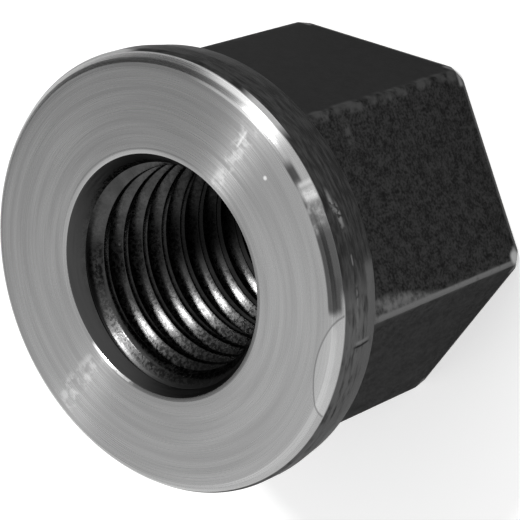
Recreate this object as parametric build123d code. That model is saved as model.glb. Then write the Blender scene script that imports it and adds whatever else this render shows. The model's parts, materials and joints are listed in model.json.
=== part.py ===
"""Flange nut: a tall hexagon nut with an integral turned collar.

The nut stands on its hexagon end.  +Z runs along the bore, the collar and its
bearing face are on top, and two hexagon corners lie on the X axis.  The origin
is the centre of the hexagon's end face.  Millimetres.
"""
from build123d import *
from math import cos, radians, tan
import os

# ---- driving dimensions ----
height = 33.5                 # end face to bearing face
across_flats = 36.0           # wrench size of the hexagon
corner_round = 0.5            # radius rolled along the six long corners

collar_ledge = 1.715          # collar beyond the hexagon's corners
collar_thickness = 6.0        # bearing face to the collar's back
bearing_chamfer_width = 1.5   # ring turned off round the bearing face
bearing_chamfer_angle = 30.0  # of that ring, from the bearing face
front_break_width = 0.3       # narrow facet between that chamfer and the land
front_break_angle = 60.0      # of that facet, from the bearing face
collar_land = 2.05            # straight part of the rim, below that facet
collar_draft = 9.0            # taper of the rim behind the land
collar_edge_round = 0.3       # rounds the collar's back edge
root_fillet = 0.8             # between the collar's back and the hexagon

end_chamfer_width = 0.585     # turned off the hexagon's corners at the end face
end_chamfer_angle = 60.0      # of that chamfer, from the end face

thread_diameter = 24.0        # nominal size of the metric coarse thread
thread_pitch = 3.0
thread_angle = 60.0           # between the flanks
countersink_margin = 0.4      # mouth beyond the thread's grooves, both ends
countersink_angle = 60.0      # included

# ---- derived ----
corner_radius = across_flats / 2.0 / cos(radians(30.0))
collar_radius = corner_radius + collar_ledge
bearing_radius = collar_radius - bearing_chamfer_width
break_radius = collar_radius - front_break_width
break_top = height - (break_radius - bearing_radius) * tan(radians(bearing_chamfer_angle))
break_foot = break_top - front_break_width * tan(radians(front_break_angle))
collar_back = height - collar_thickness
draft_top = break_foot - collar_land
collar_back_radius = collar_radius - (draft_top - collar_back) * tan(radians(collar_draft))
end_radius = corner_radius - end_chamfer_width

sharp_v_height = thread_pitch / (2.0 * tan(radians(thread_angle / 2.0)))
thread_depth = sharp_v_height * 5.0 / 8.0
bore_radius = thread_diameter / 2.0 - thread_depth      # the tapping bore
mouth_radius = thread_diameter / 2.0 + countersink_margin
countersink_depth = (mouth_radius - bore_radius) / tan(radians(countersink_angle / 2.0))


def turned(points):
    """Solid of revolution about Z from (radius, z) corners."""
    outline = Polyline(*[(r, 0.0, z) for r, z in points], close=True)
    return revolve(make_face(outline), Axis.Z)


def make_hexagon():
    """Hexagon bar, up into the collar, with rolled corners and a turned end chamfer."""
    top = height - collar_thickness / 2.0
    bar = extrude(RegularPolygon(across_flats / 2.0, 6, major_radius=False), top)
    bar = fillet(bar.edges().filter_by(Axis.Z), corner_round)
    envelope = turned([
        (0.0, 0.0),
        (end_radius, 0.0),
        (end_radius + top / tan(radians(end_chamfer_angle)), top),
        (0.0, top),
    ])
    return bar & envelope


def make_collar():
    """Turned collar: bearing face, chamfer, narrow facet, straight land and drafted rim."""
    return turned([
        (0.0, height),
        (bearing_radius, height),
        (break_radius, break_top),
        (collar_radius, break_foot),
        (collar_radius, draft_top),
        (collar_back_radius, collar_back),
        (0.0, collar_back),
    ])


def make_bore():
    """Tapping bore with a countersink at each end."""
    return turned([
        (0.0, 0.0),
        (mouth_radius, 0.0),
        (bore_radius, countersink_depth),
        (bore_radius, height - countersink_depth),
        (mouth_radius, height),
        (0.0, height),
    ])


def edges_at(solid, level):
    """Edges that lie in the plane at a level over the end face, the longest last."""
    near = 0.01
    return solid.edges().filter_by_position(Axis.Z, level - near, level + near).sort_by(SortBy.LENGTH)


def make_flange_nut():
    """One forged and turned piece."""
    nut = make_hexagon() + make_collar()
    nut = fillet(edges_at(nut, collar_back)[:-1], root_fillet)
    nut = fillet(edges_at(nut, collar_back)[-1], collar_edge_round)
    return nut - make_bore()


flange_nut = make_flange_nut()

os.makedirs("parts", exist_ok=True)
export_step(flange_nut, "parts/flange_nut.step")
print(f"flange_nut: {len(flange_nut.solids())} solid, {flange_nut.volume / 1000.0:.2f} cm3, "
      f"collar {2.0 * collar_radius:.2f} mm, bearing face {2.0 * bearing_radius:.2f} mm, "
      f"tapping bore {2.0 * bore_radius:.3f} mm, countersink {countersink_depth:.3f} mm deep")
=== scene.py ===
"""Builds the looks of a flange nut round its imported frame: the hexagon, the turned collar and the threaded
bore as one closed mesh, the finish of each surface, and the studio that it stands in.

Lengths are metres. The nut stands on its hexagon end with its bore along Z, the collar's bearing face on
top and two corners of the hexagon on the X axis.
"""

import json
import math

import bmesh
import bpy
from bpy.props import FloatProperty, FloatVectorProperty, PointerProperty
from mathutils import Euler, Matrix, Vector


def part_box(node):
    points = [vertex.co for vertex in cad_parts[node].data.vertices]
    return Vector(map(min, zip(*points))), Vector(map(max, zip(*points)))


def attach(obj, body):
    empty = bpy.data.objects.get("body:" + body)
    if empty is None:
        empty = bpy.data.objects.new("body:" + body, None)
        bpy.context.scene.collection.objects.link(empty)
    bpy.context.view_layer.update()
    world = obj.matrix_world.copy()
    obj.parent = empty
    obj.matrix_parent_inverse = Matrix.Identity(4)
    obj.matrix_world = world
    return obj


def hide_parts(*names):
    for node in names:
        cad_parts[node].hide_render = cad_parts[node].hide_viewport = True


bl_info = {
    "name": "Flange Nut",
    "version": (1, 0, 0),
    "blender": (4, 5, 0),
    "location": "View3D > Sidebar > Flange Nut",
    "description": "Builds a hexagon flange nut with its thread, its finishes and a studio round it",
    "category": "Add Mesh",
}

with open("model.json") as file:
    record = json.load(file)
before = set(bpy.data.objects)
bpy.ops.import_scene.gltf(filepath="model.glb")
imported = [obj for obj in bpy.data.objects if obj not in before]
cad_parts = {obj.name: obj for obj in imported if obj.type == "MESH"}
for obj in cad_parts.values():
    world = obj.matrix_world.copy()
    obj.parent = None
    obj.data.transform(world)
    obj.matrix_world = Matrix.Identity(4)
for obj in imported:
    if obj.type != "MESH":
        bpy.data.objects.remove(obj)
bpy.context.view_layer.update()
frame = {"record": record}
NODE = "flange_nut"
LOW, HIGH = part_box(NODE)
TOP = HIGH.z
COLLAR_RADIUS = (HIGH.x - LOW.x + HIGH.y - LOW.y) / 4
TAPPING_RADIUS = frame["record"]["mounts"][0]["dims"]["r_mm"] / 1000
SIXTH = math.radians(60)
MM = 0.001


# Sizes and colours that a user would change

def length(name, description, default, low=0.0):
    """A property that holds a length."""
    return FloatProperty(name=name, description=description, default=default, min=low,
                         precision=5, unit="LENGTH")


def colour(name, description, tone):
    """A property that holds a neutral colour, given as its tone."""
    return FloatVectorProperty(name=name, description=description, default=(tone, tone, tone),
                               min=0, max=1, subtype="COLOR")


def angle(name, description, degrees):
    """A property that holds an angle."""
    return FloatProperty(name=name, description=description, default=math.radians(degrees),
                         unit="ROTATION")


class NutSizes(bpy.types.PropertyGroup):
    """Sizes of the nut that the frame's box doesn't give"""
    across_flats: length("Across flats", "Wrench size of the hexagon", 36 * MM)
    corner_round: length("Corner round", "Radius of the hexagon's long corners", 0.5 * MM)
    end_radius: length("End radius", "Circle on the end face that cuts the corners", 20.2 * MM)
    end_angle: angle("End chamfer", "Slope of the corner cuts, from the end face", 60)
    end_break: length("End break", "Rounding where the flats meet the end face", 0.12 * MM)
    collar_thickness: length("Collar thickness", "From the bearing face to the collar's back", 6 * MM)
    bearing_radius: length("Bearing radius", "Where the packed solid's chamfer starts", 21 * MM)
    bearing_angle: angle("Bearing chamfer", "Slope of that chamfer and of the edge's upper part", 30)
    edge_start: length("Edge start", "How far the flat face reaches past that radius", 0.38 * MM)
    edge_width: length("Edge width", "Width of the edge's upper part, above its steeper one", 0.42 * MM)
    break_width: length("Break width", "Width of the narrow facet at the foot of the edge", 0.3 * MM)
    break_angle: angle("Break angle", "Slope of that facet, from the bearing face", 60)
    land: length("Land", "Straight part of the collar's rim", 2.05 * MM)
    draft: angle("Draft", "Taper of the collar behind the land", 9)
    back_break: length("Back break", "Rounding of the collar's back edge", 0.3 * MM)
    root_fillet: length("Root fillet", "Radius between the hexagon and the collar", 0.8 * MM)
    mouth_radius: length("Mouth radius", "Radius of the countersink at either end", 12.4 * MM)
    mouth_angle: angle("Countersink", "Full angle of the countersink", 60)
    mouth_ring: length("Mouth ring", "Width of the faint ring round the countersink", 0.35 * MM)
    mouth_drop: length("Mouth drop", "Depth of the faint ring at the countersink", 0.06 * MM)
    thread_diameter: length("Thread", "Major diameter of the thread", 24 * MM)
    pitch: length("Pitch", "Distance from one crest to the next", 3 * MM)
    first_crest: length("First crest", "Depth of the first crest where the bore meets +X", 1.45 * MM)
    crest_break: length("Crest break", "Rounding of the thread's edges", 0.07 * MM)


class NutFinishes(bpy.types.PropertyGroup):
    """Base colours of the nut's surfaces"""
    bare_steel: colour("Bare steel", "The turned bearing face and its chamfer", 0.40)
    black_oxide: colour("Black oxide", "The hexagon", 0.018)
    worn_oxide: colour("Worn oxide", "Rubbed corners and the rim's thin places", 0.12)
    bore_steel: colour("Bore steel", "The thread and its countersinks", 0.055)


class StudioSettings(bpy.types.PropertyGroup):
    """Where the camera and the lamp stand, and how bright the studio is"""
    camera_turn: angle("Camera turn", "Direction of view round Z, from +Y", 3.285)
    camera_height: angle("Camera height", "How far the camera looks down", 48.28)
    camera_roll: angle("Camera roll", "Turn of the picture about its own middle", -110.37)
    camera_distance: length("Camera distance", "From the camera to the middle of its view", 0.2593)
    aim: FloatVectorProperty(name="Aim", description="Middle of the view, from the middle of the nut",
                             default=(-1.95 * MM, 0.80 * MM, 0.81 * MM), unit="LENGTH", precision=5)
    lens: FloatProperty(name="Lens", description="Focal length in millimetres", default=174.1)
    lamp_turn: angle("Lamp turn", "Direction of the lamp round Z, from +X", -18)
    lamp_height: angle("Lamp height", "How high the lamp stands over the floor", 60)
    lamp_distance: length("Lamp distance", "From the nut to the lamp", 0.5)
    lamp_size: length("Lamp size", "Diameter of the lamp", 0.07)
    lamp_power: FloatProperty(name="Lamp power", description="Power of the lamp in watts", default=1.5)
    sky: colour("Sky", "The studio's walls and ceiling", 0.90)
    window: colour("Window", "The lighter side of the studio", 1.0)
    shade: colour("Shade", "The dark parts of the studio", 0.10)


# The closed mesh: outside, hexagon and thread

OUTSIDE_COLUMNS = 360              # facets round the outside, with a column on each corner and flat
THREAD_COLUMNS = 240               # facets in one turn of the thread
OUTSIDE_STEPS = 4                  # facets across a rounded edge of the outside
THREAD_STEPS = 2                   # facets across a rounded edge of the thread
FACE_RINGS = 8                     # rings of points across the bearing face
SIDE_RINGS = 8                     # rings up the hexagon, between its cut corners and the collar
CUT_RINGS = 9                      # rings over the cut corners
NEAR = 1e-6                        # places closer than this are taken as one
SEAM = 5e-7                        # reach of the last merge of the mesh's points
SHARP_ANGLE = math.radians(32)     # facets that meet at more than this are shaded with a sharp edge


def profile_chain(mesh, points, segments):
    """Joins (radius, height, break) points into one chain, and rounds each that has a break."""
    chain = [mesh.verts.new((radius, 0, height)) for radius, height, _ in points]
    for start, end in zip(chain, chain[1:]):
        mesh.edges.new((start, end))
    for vertex, (_, _, edge_break) in zip(chain, points):
        if edge_break:
            bmesh.ops.bevel(mesh, geom=[vertex], offset=edge_break, offset_type="OFFSET",
                            segments=segments, profile=0.5, affect="VERTICES", material=-1)


def between(start, end, count):
    """Evenly spaced points strictly between two (radius, height) points."""
    shares = [(step + 1) / (count + 1) for step in range(count)]
    return [(start[0] + (end[0] - start[0]) * share, start[1] + (end[1] - start[1]) * share, 0)
            for share in shares]


def mouth_slope(sizes):
    """How much the countersink widens for each unit of height."""
    return math.tan(sizes.mouth_angle / 2)


def cone_start(sizes):
    """Depth at which the countersink is as wide as the thread's grooves."""
    return (sizes.mouth_radius - sizes.thread_diameter / 2) / mouth_slope(sizes)


def bar_radius(sizes):
    """Radius of the round bar that the hexagon is cut from, at its sharp corners."""
    return sizes.across_flats / 2 / math.cos(SIXTH / 2)


def collar_back(sizes):
    """Height of the collar's back."""
    return TOP - sizes.collar_thickness


def collar_outline(sizes):
    """Points from the faint ring at the mouth, over the bearing face and rim, to the collar's back edge."""
    back = collar_back(sizes)
    break_radius = COLLAR_RADIUS - sizes.break_width
    break_top = TOP - (break_radius - sizes.bearing_radius) * math.tan(sizes.bearing_angle)
    break_foot = break_top - sizes.break_width * math.tan(sizes.break_angle)
    land_foot = break_foot - sizes.land
    back_radius = COLLAR_RADIUS - (land_foot - back) * math.tan(sizes.draft)
    ring_foot = (sizes.mouth_radius - sizes.mouth_drop * mouth_slope(sizes), TOP - sizes.mouth_drop)
    ring_edge = (sizes.mouth_radius + sizes.mouth_ring, TOP)
    face_edge = (sizes.bearing_radius + sizes.edge_start, TOP)
    edge_foot = (face_edge[0] + sizes.edge_width, TOP - sizes.edge_width * math.tan(sizes.bearing_angle))
    return [
        (*ring_foot, 0.03 * MM),
        (*ring_edge, 0.04 * MM),
        *between(ring_edge, face_edge, FACE_RINGS),
        (*face_edge, 0.06 * MM),
        (*edge_foot, 0.1 * MM),
        (break_radius, break_top, 0.12 * MM),
        (COLLAR_RADIUS, break_foot, 0.08 * MM),
        (COLLAR_RADIUS, land_foot, 0.1 * MM),
        (back_radius, back, sizes.back_break),
    ]


def bar_outline(sizes):
    """Points of the hexagon's round bar, from its root at the collar to the countersink in its end."""
    bar = bar_radius(sizes)
    root = collar_back(sizes)
    cone_height = (bar - sizes.end_radius) * math.tan(sizes.end_angle)
    cut_top = (bar, LOW.z + 1.2 * cone_height)     # a little over the cone that cuts the corners
    return [
        (bar, root, sizes.root_fillet),
        *between((bar, root - sizes.root_fillet), cut_top, SIDE_RINGS),
        (*cut_top, 0),
        *between(cut_top, (bar, LOW.z + sizes.end_break), CUT_RINGS),
        (bar, LOW.z, sizes.end_break),
        (sizes.mouth_radius, LOW.z, 0.05 * MM),
    ]


def spin_outside(mesh, sizes):
    """Turns the outside of the nut, with the hexagon still a round bar, and gives its flat back's reach."""
    mouth_depth = cone_start(sizes) / 2
    mouth_start = sizes.mouth_radius - mouth_depth * mouth_slope(sizes)
    collar = collar_outline(sizes)
    points = [(mouth_start, TOP - mouth_depth, 0), *collar, *bar_outline(sizes),
              (mouth_start, LOW.z + mouth_depth, 0)]
    profile_chain(mesh, points, OUTSIDE_STEPS)
    bmesh.ops.spin(mesh, geom=mesh.verts[:] + mesh.edges[:], cent=(0, 0, 0), axis=(0, 0, 1),
                   dvec=(0, 0, 0), angle=math.tau, steps=OUTSIDE_COLUMNS, use_merge=True)
    back_radius = collar[-1][0]
    return back_radius - sizes.back_break


def hexagon_reach(turn, flats, corner, grow):
    """Distance from the axis to a hexagon with rounded corners, grown outwards, at a turn from a corner."""
    corner_centre = (flats - corner) / math.cos(SIXTH / 2)
    corner += grow
    flats += grow
    tangent = math.atan2(corner / 2, corner_centre + corner * math.cos(SIXTH / 2))
    turn = abs(turn)
    if turn < tangent:
        aside = corner_centre * math.sin(turn)
        return corner_centre * math.cos(turn) + math.sqrt(corner * corner - aside * aside)
    return flats / math.cos(SIXTH / 2 - turn)


def softer_of(first, second, width):
    """The smaller of two distances, with the crossing rounded over a width."""
    share = min(max(0.5 + 0.5 * (second - first) / width, 0), 1)
    return second + (first - second) * share - width * share * (1 - share)


def mill_hexagon(mesh, sizes, flat_edge):
    """Moves the round bar's rings in onto the hexagon, with its root fillet and its cut corners."""
    bar = bar_radius(sizes)
    back = collar_back(sizes)
    slope = math.tan(math.pi / 2 - sizes.end_angle)
    half_flats = sizes.across_flats / 2
    fillet_top = bar + sizes.root_fillet
    mouth_edge = sizes.mouth_radius + 0.1 * MM
    cut_break = 0.08 * MM
    even, crowded = 0.15, 0.85     # shares of the columns that are even, and crowded onto the corners
    for vertex in mesh.verts:
        radius, height = math.hypot(vertex.co.x, vertex.co.y), vertex.co.z
        if height > back + NEAR or radius > flat_edge - NEAR or radius < mouth_edge:
            continue
        around = math.atan2(vertex.co.y, vertex.co.x)
        middle = round(around / SIXTH) * SIXTH
        share = (around - middle) / (SIXTH / 2)
        turn = (even * share + crowded * share ** 3) * SIXTH / 2
        grow = min(max(radius - bar, 0), sizes.root_fillet)
        side = hexagon_reach(turn, half_flats, sizes.corner_round, grow)
        side = softer_of(side, sizes.end_radius + slope * (height - LOW.z), cut_break)
        if radius > fillet_top:
            reach = side + (radius - fillet_top) * (flat_edge - side) / (flat_edge - fillet_top)
        elif height < LOW.z + NEAR:
            inside = sizes.mouth_radius
            reach = inside + (radius - inside) * (side - inside) / (bar - inside)
        else:
            reach = side + min(radius - bar, 0)
        vertex.co.x = reach * math.cos(middle + turn)
        vertex.co.y = reach * math.sin(middle + turn)


def open_mouths(thread, sizes):
    """Opens the thread to the countersinks' cones, with an edge where its flanks run out of them."""
    least_flat = 0.1 * MM          # flanks, roots and crests span more; breaks and steps round the axis less
    lift = {}
    for vertex in thread.verts:
        depth = min(TOP - vertex.co.z, vertex.co.z - LOW.z)
        cone_radius = sizes.mouth_radius - depth * mouth_slope(sizes)
        lift[vertex] = cone_radius - math.hypot(vertex.co.x, vertex.co.y)
    edges_out = {}
    for edge in thread.edges:
        first, second = edge.verts
        if lift[first] < lift[second]:
            first, second = second, first
        along = abs(first.co.z - second.co.z) + abs(first.co.xy.length - second.co.xy.length)
        if lift[first] > 0 > lift[second] and along > least_flat:
            share = lift[first] / (lift[first] - lift[second])
            edges_out[first] = first.co.lerp(second.co, share)
    for vertex in thread.verts:
        if lift[vertex] > 0:
            radius = vertex.co.xy.length
            vertex.co.xy *= (radius + lift[vertex]) / radius
    for vertex, place in edges_out.items():
        vertex.co = place


def thread_outline(sizes):
    """Points of the thread's section, from over the bearing face to below the end face."""
    major = sizes.thread_diameter / 2
    flank = (major - TAPPING_RADIUS) * math.tan(SIXTH / 2)
    crest = sizes.pitch / 4
    root = sizes.pitch - crest - 2 * flank
    groove = [(TAPPING_RADIUS, 0), (major, flank), (major, flank + root),
              (TAPPING_RADIUS, sizes.pitch - crest)]
    start = TOP - sizes.first_crest - crest / 2
    above, below = 2, 1            # turns past either face, for the trim
    turns = above + math.ceil((TOP - LOW.z) / sizes.pitch) + below
    points = []
    for number in range(turns):
        foot = start + (above - number) * sizes.pitch
        corners = [(radius, foot - drop, sizes.crest_break) for radius, drop in groove]
        for corner, following in zip(corners, corners[1:]):
            on_flank = abs(corner[0] - following[0]) > NEAR
            points += [corner, *between(corner, following, 2 if on_flank else 0)]
        points += [corners[-1], *between(corners[-1], (TAPPING_RADIUS, foot - sizes.pitch), 1)]
    return points


def wind_thread(mesh, sizes):
    """Winds a right-hand thread up the bore, opened by a countersink and trimmed at either end."""
    thread = bmesh.new()
    profile_chain(thread, thread_outline(sizes)[::-1], THREAD_STEPS)
    bmesh.ops.spin(thread, geom=thread.verts[:] + thread.edges[:], cent=(0, 0, 0), axis=(0, 0, 1),
                   dvec=(0, 0, sizes.pitch / THREAD_COLUMNS), angle=math.tau, steps=THREAD_COLUMNS,
                   use_merge=False)
    bmesh.ops.remove_doubles(thread, verts=thread.verts, dist=2 * NEAR)
    open_mouths(thread, sizes)
    for height, direction in ((TOP - cone_start(sizes), 1), (LOW.z + cone_start(sizes), -1)):
        bmesh.ops.bisect_plane(thread, geom=thread.verts[:] + thread.edges[:] + thread.faces[:],
                               dist=1e-7, plane_co=(0, 0, height), plane_no=(0, 0, direction),
                               clear_outer=True)
    spare = bpy.data.meshes.new("thread")
    thread.to_mesh(spare)
    thread.free()
    mesh.from_mesh(spare)
    bpy.data.meshes.remove(spare)


def close_mouths(mesh, sizes):
    """Bridges the thread's two end loops to the countersinks of the outside."""
    for height in (TOP, LOW.z):
        loops = [edge for edge in mesh.edges
                 if edge.is_boundary and abs(edge.verts[0].co.z - height) < 2 * cone_start(sizes)]
        bmesh.ops.bridge_loops(mesh, edges=loops)


# Shader nodes

def feed(tree, socket, value):
    """Connects an input to another node's output, or sets it to a value."""
    if isinstance(value, bpy.types.NodeSocket):
        tree.links.new(value, socket)
    else:
        socket.default_value = value


def put(tree, kind, *inputs, **settings):
    """Adds one node, sets its properties, and fills its inputs in order, skipping those given as None."""
    node = tree.nodes.new("ShaderNode" + kind)
    for name, value in settings.items():
        setattr(node, name, value)
    for socket, value in zip(node.inputs, inputs):
        if value is not None:
            feed(tree, socket, value)
    return node.outputs[0] if node.outputs else None


def ramp(tree, value, low, high, to_low=0.0, to_high=1.0):
    """Follows a value smoothly from one range to another, and holds at its ends."""
    return put(tree, "MapRange", value, low, high, to_low, to_high, interpolation_type="SMOOTHSTEP")


def maths(tree, operation, first, second=0.0):
    """One sum of two values."""
    return put(tree, "Math", first, second, operation=operation)


def blend(tree, share, under, over):
    """One colour over another, through the Mix node's sockets for colours."""
    node = tree.nodes.new("ShaderNodeMix")
    node.data_type = "RGBA"
    for number, value in ((0, share), (6, under), (7, over)):
        feed(tree, node.inputs[number], value)
    return node.outputs[2]


def tinted(tone, share):
    """A neutral or tinted base colour scaled by a share, as four channels."""
    return (*(channel * share for channel in tone), 1.0)


def measure(tree, operation, first, second=(0, 0, 0)):
    """A length, distance or dot product of vectors, as a value."""
    return put(tree, "VectorMath", first, second, operation=operation).node.outputs["Value"]


def noise(tree, place, size, detail=3.0, roughness=0.55):
    """Cloudy noise with marks of about one size."""
    return put(tree, "TexNoise", place, None, 1 / size, detail, roughness)


def band(tree, value, low, high, soft):
    """1 where a value lies between two limits, with soft ends."""
    rise = ramp(tree, value, low - soft, low + soft)
    fall = ramp(tree, value, high + soft, high - soft)
    return maths(tree, "MULTIPLY", rise, fall)


def both(tree, first, *masks):
    """Where all the masks hold."""
    for mask in masks:
        first = maths(tree, "MULTIPLY", first, mask)
    return first


def either(tree, first, *masks):
    """Where any of the masks holds."""
    for mask in masks:
        first = maths(tree, "MAXIMUM", first, mask)
    return first


def without(tree, mask):
    """Where a mask doesn't hold."""
    return maths(tree, "SUBTRACT", 1.0, mask)


def on_nut(radius, degrees, depth):
    """A point from its distance and direction from the axis and its depth, lengths in millimetres."""
    turn = math.radians(degrees)
    return Vector((radius * MM * math.cos(turn), radius * MM * math.sin(turn), TOP - depth * MM))


class Surface:
    """A material, its shader, and where each point of it lies on the nut"""

    def __init__(self, name):
        self.material = bpy.data.materials.new(name)
        self.material.use_nodes = True
        tree = self.tree = self.material.node_tree
        self.shader = tree.nodes["Principled BSDF"]
        self.point = put(tree, "TexCoord").node.outputs["Object"]
        flat = put(tree, "VectorMath", self.point, (1, 1, 0), operation="MULTIPLY")
        self.toward = put(tree, "VectorMath", flat, operation="NORMALIZE")
        self.radius = measure(tree, "LENGTH", flat)
        x, y, z = put(tree, "SeparateXYZ", self.point).node.outputs
        self.around = maths(tree, "ARCTAN2", y, x)
        self.depth = maths(tree, "SUBTRACT", TOP, z)

    def turns(self, low, high, soft):
        """1 between two directions from the axis, in degrees from +X."""
        return band(self.tree, self.around, math.radians(low), math.radians(high), math.radians(soft))

    def radii(self, low, high, soft):
        """1 between two distances from the axis, in millimetres."""
        return band(self.tree, self.radius, low * MM, high * MM, soft * MM)

    def depths(self, low, high, soft):
        """1 between two depths below the bearing face, in millimetres."""
        return band(self.tree, self.depth, low * MM, high * MM, soft * MM)

    def spot(self, centre, size, soft):
        """1 within a distance of a point, in millimetres."""
        away = measure(self.tree, "DISTANCE", self.point, centre)
        return ramp(self.tree, away, (size + soft) * MM, (size - soft) * MM)

    def clouds(self, size, low, high, stretch=(1, 1, 1)):
        """Patches of noise of a size in millimetres, drawn out where the stretch is small."""
        place = put(self.tree, "VectorMath", self.point, stretch, operation="MULTIPLY")
        return ramp(self.tree, noise(self.tree, place, size * MM), low, high)

    def rings(self, spacing, length_round):
        """Noise drawn out into rings round the axis, at a spacing and with marks of a length."""
        tree = self.tree
        along = put(tree, "VectorMath", self.toward, (1 / length_round,) * 3, operation="MULTIPLY")
        across = put(tree, "CombineXYZ", 0.0, 0.0, maths(tree, "DIVIDE", self.radius, spacing))
        return noise(tree, put(tree, "VectorMath", along, across, operation="ADD"), 1.0, 1.0)

    def mark(self, base, metal, *kinds):
        """Lays kinds of marks over a base colour, each mark with its tone against a metal's colour."""
        for kind in kinds:
            for mask, tone in kind(self):
                base = blend(self.tree, mask, base, tinted(metal, tone))
        return base

    def bump(self, height, distance, strength):
        """A normal that follows a height."""
        return put(self.tree, "Bump", strength, distance, None, height)

    def fill(self, inputs):
        """Sets or connects the shader's inputs, and gives the material."""
        for name, value in inputs.items():
            feed(self.tree, self.shader.inputs[name], value)
        return self.material


# Bare steel: the bearing face and its edge. A mark is a mask and its tone against the bare metal.

def edge_highlight_and_dark_patches(face):
    """A painted highlight along the bearing face's edge, and darker patches beside it."""
    tree = face.tree
    patch_breakup = face.clouds(0.8, 0.25, 0.6)
    # Painted highlight: the lamp's highlight on the edge's two sloped strips, laid into the base colour.
    painted_edge_highlight = either(tree, face.radii(21.05, 21.4, 0.1), face.radii(21.85, 22.4, 0.12))
    yield both(tree, painted_edge_highlight, face.turns(-64, -39, 6)), 2.0
    # Darker patches on the edge and just inside it, broken up by clouds.
    yield both(tree, face.radii(21.25, 22.4, 0.15), face.turns(-105, -82, 3), patch_breakup), 0.55
    yield both(tree, face.radii(21.3, 22.5, 0.12), face.turns(-107, -89, 3)), 0.3
    yield both(tree, face.radii(20.9, 21.5, 0.12), face.turns(-95, -81.5, 2), patch_breakup), 0.38
    inner_stretches = either(tree, face.turns(-111.3, -91, 1.5), face.turns(-77.5, -71.5, 2))
    yield both(tree, face.radii(20.9, 21.7, 0.12), inner_stretches), 0.22
    yield both(tree, face.radii(21.0, 22.1, 0.15), face.turns(-111.3, -102.5, 1.5)), 0.24


def touch_mark(face):
    """A pale round patch that runs off the bearing face, with a fine dark outline."""
    tree = face.tree
    centre = on_nut(30.45, -126.3, 0)
    yield both(tree, face.spot(centre, 10.45, 0.05), face.clouds(3, 0.1, 0.5)), 1.17
    yield both(tree, face.spot(centre, 10.53, 0.05), without(tree, face.spot(centre, 10.38, 0.05))), 0.6


def painted_streak_glints(face):
    """Painted glints in the streaks where the turning marks draw the lamp out, and a painted glint along one
    fine line in a streak.
    """
    tree = face.tree
    streaks = either(tree, face.turns(-60.5, -55, 1.2), face.turns(113.5, 121, 1.5))
    # Painted highlight: bright grains laid only where the lamp's streaks lie, and one bright line in the
    # upper streak.
    yield both(tree, face.radii(12.7, 20.8, 0.1), face.clouds(1.0, 0.42, 0.62), streaks), 1.4
    yield both(tree, face.radii(17.9, 19.9, 0.3), face.turns(-57.5, -56.8, 0.3)), 1.8


def mouth_lines(face):
    """The darker ring at the mouth, a fine line beyond it, and a painted glint, broken up, on the mouth's
    edge.
    """
    tree = face.tree
    glint_breakup = face.clouds(0.8, 0.3, 0.5)
    yield both(tree, face.radii(12.36, 12.72, 0.05), without(tree, face.turns(-70, 30, 12))), 0.84
    yield both(tree, face.radii(12.85, 12.97, 0.05), face.turns(-45, 35, 8)), 0.75
    # Painted glint of the lamp on the mouth's rounded edge.
    yield both(tree, face.radii(12.3, 12.65, 0.05), face.turns(112, 139, 2), glint_breakup), 2.5


def dings(face):
    """A bright speck on the bearing face, and two dings across its edge."""
    tree = face.tree
    edge = face.radii(21.2, 22.4, 0.25)
    yield face.spot(on_nut(18.2, -70.4, 0), 0.2, 0.1), 2.5
    yield both(tree, edge, face.turns(-78.5, -77.5, 0.8)), 1.7
    yield both(tree, edge, face.turns(-82.3, -79.6, 1), face.clouds(0.5, 0.2, 0.6)), 1.9


def turned_steel(finishes):
    """Bare steel, faced in a lathe: fine rings that draw the lamp out into a streak, and its marks, among
    them painted highlights and painted glints.
    """
    face = Surface("turned_steel")
    tree = face.tree
    fine = face.rings(0.09 * MM, 0.6)
    broad = face.rings(0.8 * MM, 0.8)
    lines = maths(tree, "ADD", maths(tree, "MULTIPLY", fine, 0.4), maths(tree, "MULTIPLY", broad, 0.6))
    base = blend(tree, ramp(tree, lines, 0.3, 0.7), tinted(finishes.bare_steel, 0.9),
                 tinted(finishes.bare_steel, 1.1))
    base = face.mark(base, finishes.bare_steel, edge_highlight_and_dark_patches, touch_mark, painted_streak_glints, mouth_lines, dings)
    return face.fill({"Base Color": base, "Metallic": 1.0, "Anisotropic": 0.95, "Tangent": face.toward,
                      "Roughness": ramp(tree, fine, 0.2, 0.8, 0.22, 0.29),
                      "Normal": face.bump(fine, 0.02 * MM, 0.15)})


# Blackened steel: the collar's rim, and the hexagon. Tones are against worn oxide.

OXIDE_TINT = (0.5, 0.5, 0.5, 1)    # keeps blackened steel dark where it is seen at a glancing angle


def thin_patches_and_reflection(rim):
    """Broad patches of the rim where the oxide is rubbed thin, and a painted reflection where the rim is
    seen at a glancing angle.
    """
    tree = rim.tree
    yield both(tree, rim.turns(-177, -106, 7), rim.clouds(2.2, 0.25, 0.55, (1, 1, 4))), 0.75
    yield both(tree, rim.turns(-150, -101, 3), rim.depths(4.3, 6.2, 0.2), rim.clouds(1.2, 0.2, 0.5)), 0.8
    ragged_reflection = rim.clouds(1.4, 0.3, 0.6, (1, 1, 3))
    # Painted reflection: a lighter patch where the rim, seen at a glancing angle, catches the bright
    # surroundings.
    yield both(tree, rim.turns(-12, 7, 6), rim.depths(1.1, 3.4, 0.5), ragged_reflection), 2.2


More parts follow.
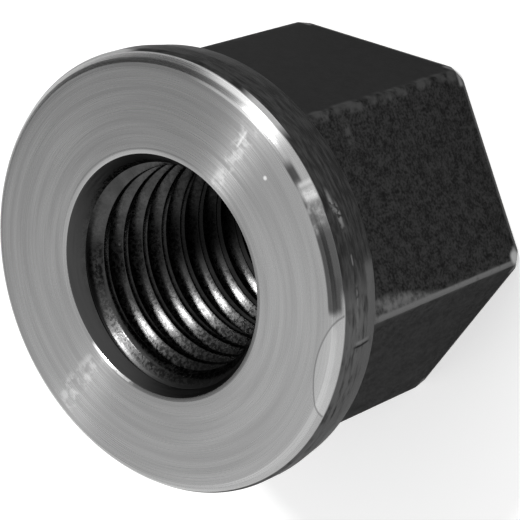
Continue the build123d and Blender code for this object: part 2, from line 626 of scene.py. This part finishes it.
def rim_scratches_and_dent_light(rim):
    """Dashes along the rim, and a dent across it painted with a highlight on one side and shade on the
    other.
    """
    tree = rim.tree
    dashes = rim.clouds(0.5, 0.4, 0.55)
    yield both(tree, rim.turns(-87, -82, 2), rim.depths(1.55, 1.95, 0.2), dashes), 1.3
    yield both(tree, rim.turns(-91, -85.5, 2), rim.depths(1.95, 2.45, 0.2), dashes), 1.3
    yield both(tree, rim.turns(-118, -106, 2), rim.depths(2.35, 2.6, 0.12), dashes), 0.9
    yield both(tree, rim.turns(-100.5, -98, 0.4), rim.depths(2.25, 2.45, 0.06)), 0.9
    # Painted highlight and painted shade on the two sides of a dent.
    yield both(tree, rim.turns(-120.7, -119.9, 0.3), rim.depths(2.4, 4.7, 0.4)), 1.1
    yield both(tree, rim.turns(-121.5, -121, 0.25), rim.depths(2.3, 4.8, 0.4)), 0.1


def rubbed_rim(finishes):
    """The collar's rim: turned and blackened, rubbed thin on one side, with a painted reflection, a dent
    painted with light and shade, and its narrow facet part bare.
    """
    rim = Surface("rubbed_rim")
    tree = rim.tree
    base = blend(tree, rim.clouds(1.6, 0.35, 0.7, (1, 1, 5)), tinted(finishes.black_oxide, 1.1),
                 tinted(finishes.black_oxide, 2.4))
    base = rim.mark(base, finishes.worn_oxide, thin_patches_and_reflection, rim_scratches_and_dent_light)
    upper_facet = both(tree, rim.radii(22, 22.27, 0.04), without(tree, rim.turns(-108, -84, 3)))
    bare = both(tree, rim.depths(0.4, 1.23, 0.03),
                either(tree, upper_facet, rim.turns(-13, 46, 3), rim.turns(-64, -51, 3)))
    base = blend(tree, bare, base, tinted(finishes.bare_steel, 1.0))
    ripple = rim.clouds(0.6, 0.2, 0.8, (1, 1, 4))
    return rim.fill({"Base Color": base, "Metallic": 1.0, "Specular Tint": OXIDE_TINT,
                     "Roughness": 0.45, "Normal": rim.bump(ripple, 0.05 * MM, 0.3)})


def corner_wear_and_highlight(oxide):
    """Rubbed places along the hexagon's long corners, and a painted highlight along one of them that widens
    into a wedge towards the collar.
    """
    tree = oxide.tree
    ragged = oxide.clouds(0.7, 0.3, 0.55)
    corner = ramp(tree, oxide.radius, 20.35 * MM, 20.6 * MM)
    yield both(tree, corner, oxide.clouds(2.0, 0.42, 0.62)), 0.38
    yield both(tree, oxide.turns(-62.3, -58.9, 0.6), oxide.clouds(1.7, 0.45, 0.62), ragged), 0.42
    yield both(tree, oxide.turns(-70, -63, 1), oxide.depths(12.4, 13.2, 0.3), ragged), 0.4
    yield oxide.spot(on_nut(20.7, -63.5, 8.1), 0.35, 0.2), 2.2
    # Painted highlight along the rounded corner at -120 degrees, and the wedge of painted highlight beside
    # it.
    yield both(tree, oxide.turns(-120.7, -119, 0.3), oxide.depths(8, 33.5, 0.5),
               oxide.clouds(1.5, 0.2, 0.45)), 1.0
    wedge_side = ramp(tree, oxide.depth, 11 * MM, 20 * MM, math.radians(-115), math.radians(-119.3))
    wedge = ramp(tree, maths(tree, "SUBTRACT", oxide.around, wedge_side), 0.015, -0.015)
    yield both(tree, wedge, oxide.turns(-120.7, -110, 0.3), oxide.depths(6, 20, 0.5),
               oxide.clouds(0.9, 0.2, 0.75)), 0.95


def end_tones_and_highlight(oxide):
    """Lighter places at the end, on the tips of the corners and on the end face, and a painted highlight on
    the tip of one corner.
    """
    tree = oxide.tree
    yield both(tree, ramp(tree, oxide.depth, 32.4 * MM, 32.8 * MM),
               ramp(tree, oxide.radius, 19.9 * MM, 20.1 * MM)), 1.3
    yield both(tree, oxide.depths(33.1, 33.7, 0.15), oxide.radii(17.9, 23, 0.3)), 0.7
    yield both(tree, oxide.depths(33.45, 33.7, 0.03), oxide.clouds(4.0, 0.35, 0.65)), 0.4
    # Painted highlight where the cut tip of the corner at -120 degrees catches the light.
    yield oxide.spot(on_nut(20.4, -118.6, 32.6), 0.7, 0.3), 2.8


def black_oxide(finishes):
    """Black oxide on the hexagon: mottled, with a fine grain, rubbed along its corners, lighter at its end,
    and with painted highlights along one corner and at its tip.
    """
    oxide = Surface("black_oxide")
    tree = oxide.tree
    grain = noise(tree, oxide.point, 0.3 * MM, 2.0, 0.6)
    blotch = noise(tree, oxide.point, 1.2 * MM, 5.0, 0.7)
    mottle = maths(tree, "ADD", maths(tree, "MULTIPLY", blotch, 0.6), maths(tree, "MULTIPLY", grain, 0.4))
    calm = oxide.turns(-60, 180, 2)                # the sides on which the mottling is faint
    share = ramp(tree, mottle, 0.37, 0.63, ramp(tree, calm, 0, 1, 0, 0.2), ramp(tree, calm, 0, 1, 1, 0.45))
    base = blend(tree, share, tinted(finishes.black_oxide, 0.5), tinted(finishes.black_oxide, 1.8))
    base = oxide.mark(base, finishes.worn_oxide, corner_wear_and_highlight, end_tones_and_highlight)
    return oxide.fill({"Base Color": base, "Metallic": 1.0, "Specular Tint": OXIDE_TINT,
                       "Roughness": 0.5, "Normal": oxide.bump(grain, 0.03 * MM, 0.2)})


# The bore

BORE_TINT = (0.6, 0.6, 0.6, 1)     # does the same for oily steel
SPECK = (0.8, 0.8, 0.8, 1)         # a bright speck on the thread


def bore_steel(finishes):
    """The tapped bore: dark, oily steel with a glossy, speckled thread and a satin cone at its mouth, with
    painted shade deep inside and in the grooves' roots by the countersink.
    """
    bore = Surface("tapped_bore")
    tree = bore.tree
    speckle = noise(tree, bore.point, 0.35 * MM, 2.0, 0.6)
    lines = bore.rings(0.12 * MM, 0.5)
    cone = ramp(tree, bore.radius, 11.2 * MM, 11.9 * MM)
    shallow = both(tree, cone, ramp(tree, bore.depth, 3 * MM, 2 * MM))
    base = blend(tree, bore.clouds(2.0, 0.3, 0.7), tinted(finishes.bore_steel, 0.8),
                 tinted(finishes.bore_steel, 1.2))
    base = blend(tree, shallow, base, tinted(finishes.bore_steel, 1.3))
    # Painted shade: the thread much darker deep in the bore on one side, where little light reaches.
    painted_deep_shade = both(tree, bore.turns(-60, 92, 10), bore.depths(14, 40, 4))
    base = blend(tree, painted_deep_shade, base, tinted(finishes.bore_steel, 0.3))
    # The radius at the bearing face of a cone through each point, as steep as the countersink:
    # it is 12.4 mm on the countersink itself, and more in the grooves that run out of it.
    cone_mouth = maths(tree, "ADD", bore.radius, maths(tree, "MULTIPLY", bore.depth, math.tan(SIXTH / 2)))
    # Painted shade in the roots of the grooves that run out of the countersink.
    painted_root_shade = both(tree, ramp(tree, bore.radius, 11.3 * MM, 11.7 * MM),
                      ramp(tree, cone_mouth, 12.5 * MM, 12.8 * MM), bore.turns(45, 106, 15))
    base = blend(tree, painted_root_shade, base, tinted(finishes.bore_steel, 0.25))
    base = blend(tree, bore.spot(on_nut(10.6, 68, 6.1), 0.2, 0.1), base, SPECK)
    thread_gloss = ramp(tree, speckle, 0.35, 0.65, 0.16, 0.34)
    cone_gloss = ramp(tree, lines, 0.3, 0.7, 0.3, 0.42)
    return bore.fill({"Base Color": base, "Metallic": 1.0, "Specular Tint": BORE_TINT,
                      "Roughness": blend(tree, shallow, thread_gloss, cone_gloss),
                      "Normal": bore.bump(speckle, 0.03 * MM, 0.22)})


# Which finish each face has, and the piece itself

FINISHES = (turned_steel, rubbed_rim, black_oxide, bore_steel)
FACE, RIM, HEXAGON, BORE = range(len(FINISHES))


def share_out_finishes(mesh, sizes):
    """Gives each face the finish of the surface that it belongs to."""
    bore_reach = sizes.mouth_radius - 0.05 * MM
    hexagon_top = collar_back(sizes) + sizes.back_break * 0.3
    bare_lean = 0.55               # least upward lean of a bare facet: its edge's lower part is bare too
    for facet in mesh.faces:
        middle = facet.calc_center_median()
        radius = math.hypot(middle.x, middle.y)
        if radius < bore_reach:
            facet.material_index = BORE
        elif middle.z < hexagon_top:
            facet.material_index = HEXAGON
        elif facet.normal.z > bare_lean:
            facet.material_index = FACE
        else:
            facet.material_index = RIM
        facet.smooth = True


class FLANGENUT_OT_body(bpy.types.Operator):
    """Builds the nut with its thread and finishes"""
    bl_idname = "flange_nut.body"
    bl_label = "Nut body"

    def execute(self, context):
        sizes = context.scene.flange_nut_sizes
        finishes = context.scene.flange_nut_finishes
        mesh = bmesh.new()
        flat_edge = spin_outside(mesh, sizes)
        mill_hexagon(mesh, sizes, flat_edge)
        wind_thread(mesh, sizes)
        close_mouths(mesh, sizes)
        bmesh.ops.remove_doubles(mesh, verts=mesh.verts, dist=SEAM)
        bmesh.ops.recalc_face_normals(mesh, faces=mesh.faces)
        open_edges = sum(not edge.is_manifold for edge in mesh.edges)
        if open_edges:
            raise RuntimeError(f"the nut's mesh has {open_edges} open edges")
        share_out_finishes(mesh, sizes)
        data = bpy.data.meshes.new("nut_body")
        mesh.to_mesh(data)
        mesh.free()
        data.set_sharp_from_angle(angle=SHARP_ANGLE)
        for finish in FINISHES:
            data.materials.append(finish(finishes))
        body = bpy.data.objects.new("nut_body", data)
        context.collection.objects.link(body)
        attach(body, "root")
        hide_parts(NODE)
        return {"FINISHED"}


# The studio: floor, world, lamp and camera

FLOOR_RADIUS = 4.0
FLOOR_GLOW = 0.35                  # lifts the floor to white where the camera sees it unshadowed


def seen_directly(tree):
    """1 for rays from the camera or from a mirror or glass, and 0 for light."""
    path = put(tree, "LightPath").node
    glossy = maths(tree, "ADD", path.outputs["Is Glossy Ray"], path.outputs["Is Transmission Ray"])
    return maths(tree, "MINIMUM", maths(tree, "ADD", path.outputs["Is Camera Ray"], glossy), 1.0)


def lay_floor(context):
    """A round pale floor under the nut, white where no shadow falls."""
    mesh = bmesh.new()
    bmesh.ops.create_circle(mesh, cap_ends=True, segments=96, radius=FLOOR_RADIUS)
    bmesh.ops.translate(mesh, verts=mesh.verts, vec=(0, 0, LOW.z))
    data = bpy.data.meshes.new("floor")
    mesh.to_mesh(data)
    mesh.free()
    material = bpy.data.materials.new("pale_floor")
    material.use_nodes = True
    tree = material.node_tree
    tree.nodes.clear()
    diffuse = put(tree, "BsdfDiffuse", (0.8, 0.8, 0.8, 1))
    glow = put(tree, "Emission", (1, 1, 1, 1), maths(tree, "MULTIPLY", seen_directly(tree), FLOOR_GLOW))
    put(tree, "OutputMaterial", put(tree, "AddShader", diffuse, glow))
    data.materials.append(material)
    floor = bpy.data.objects.new("floor", data)
    context.collection.objects.link(floor)


def heading(turn, height):
    """The direction at a turn round Z from +X and a height over the floor, both in radians."""
    level = math.cos(height)
    return Vector((level * math.cos(turn), level * math.sin(turn), math.sin(height)))


def sky_spot(tree, toward, turn, height, inner, outer):
    """1 in a round spot of the sky, fading to 0 between two angles from its middle, all in degrees."""
    middle = heading(math.radians(turn), math.radians(height))
    nearness = measure(tree, "DOT_PRODUCT", toward, middle)
    return ramp(tree, nearness, math.cos(math.radians(outer)), math.cos(math.radians(inner)))


def soft_world(context, studio):
    """Soft light from all round, with a lighter side, two darker parts and white behind the nut."""
    world = bpy.data.worlds.new("soft_studio")
    context.scene.world = world
    world.use_nodes = True
    tree = world.node_tree
    tree.nodes.clear()
    toward = put(tree, "TexCoord")
    window = sky_spot(tree, toward, 150, 45, 33, 45)
    dim_side = sky_spot(tree, toward, 43, 24, 28, 54)
    dark_spot = sky_spot(tree, toward, -122, 66, 6, 21)
    sky = blend(tree, window, (*studio.sky, 1), tinted(studio.window, 1.2))
    sky = blend(tree, dim_side, sky, tinted(studio.shade, 1))
    sky = blend(tree, dark_spot, sky, tinted(studio.shade, 0.5))
    camera_ray = put(tree, "LightPath")
    background = put(tree, "Background", blend(tree, camera_ray, sky, (1, 1, 1, 1)), 1.0)
    put(tree, "OutputWorld", background)


def place_lamp(context, studio, target):
    """A round soft lamp over the +X side."""
    data = bpy.data.lights.new("soft_lamp", "AREA")
    data.shape = "DISK"
    data.size = studio.lamp_size
    data.energy = studio.lamp_power
    lamp = bpy.data.objects.new("soft_lamp", data)
    direction = heading(studio.lamp_turn, studio.lamp_height)
    lamp.location = target + direction * studio.lamp_distance
    lamp.rotation_euler = direction.to_track_quat("Z", "Y").to_euler()
    context.collection.objects.link(lamp)


def place_camera(context, studio, target):
    """A long lens that looks down on the bearing face, with its picture rolled."""
    data = bpy.data.cameras.new("camera")
    data.sensor_width = 36.0
    data.lens = studio.lens
    camera = bpy.data.objects.new("camera", data)
    level = Euler((math.pi / 2 - studio.camera_height, 0, studio.camera_turn)).to_matrix()
    aim = target + Vector(studio.aim)
    camera.matrix_world = Matrix.LocRotScale(
        aim + level @ Vector((0, 0, studio.camera_distance)),
        level @ Matrix.Rotation(studio.camera_roll, 3, "Z"), None)
    context.collection.objects.link(camera)
    context.scene.camera = camera


class FLANGENUT_OT_studio(bpy.types.Operator):
    """Sets up the floor, the soft light, the lamp and the camera"""
    bl_idname = "flange_nut.studio"
    bl_label = "Studio"

    def execute(self, context):
        studio = context.scene.flange_nut_studio
        target = (LOW + HIGH) / 2
        target.x = target.y = 0
        lay_floor(context)
        soft_world(context, studio)
        place_lamp(context, studio, target)
        place_camera(context, studio, target)
        context.scene.view_settings.view_transform = "Standard"
        return {"FINISHED"}


class FLANGENUT_PT_panel(bpy.types.Panel):
    """Lists the nut's sizes, finishes and studio"""
    bl_idname = "FLANGENUT_PT_panel"
    bl_label = "Flange Nut"
    bl_space_type = "VIEW_3D"
    bl_region_type = "UI"
    bl_category = "Flange Nut"

    def draw(self, context):
        layout = self.layout
        scene = context.scene
        for group in (scene.flange_nut_sizes, scene.flange_nut_finishes, scene.flange_nut_studio):
            box = layout.box()
            for name in group.__annotations__:
                box.prop(group, name)
        layout.operator(FLANGENUT_OT_body.bl_idname)
        layout.operator(FLANGENUT_OT_studio.bl_idname)


CLASSES = (NutSizes, NutFinishes, StudioSettings,
           FLANGENUT_OT_body, FLANGENUT_OT_studio, FLANGENUT_PT_panel)


def register():
    """Registers the add-on's classes and the scene's three groups of settings."""
    for kind in CLASSES:
        bpy.utils.register_class(kind)
    bpy.types.Scene.flange_nut_sizes = PointerProperty(type=NutSizes)
    bpy.types.Scene.flange_nut_finishes = PointerProperty(type=NutFinishes)
    bpy.types.Scene.flange_nut_studio = PointerProperty(type=StudioSettings)


def unregister():
    """Takes back what register added."""
    del bpy.types.Scene.flange_nut_studio
    del bpy.types.Scene.flange_nut_finishes
    del bpy.types.Scene.flange_nut_sizes
    for kind in reversed(CLASSES):
        bpy.utils.unregister_class(kind)


def main():
    """Builds the nut and its studio."""
    register()
    bpy.ops.flange_nut.body()
    bpy.ops.flange_nut.studio()


if __name__ == "__main__":
    main()
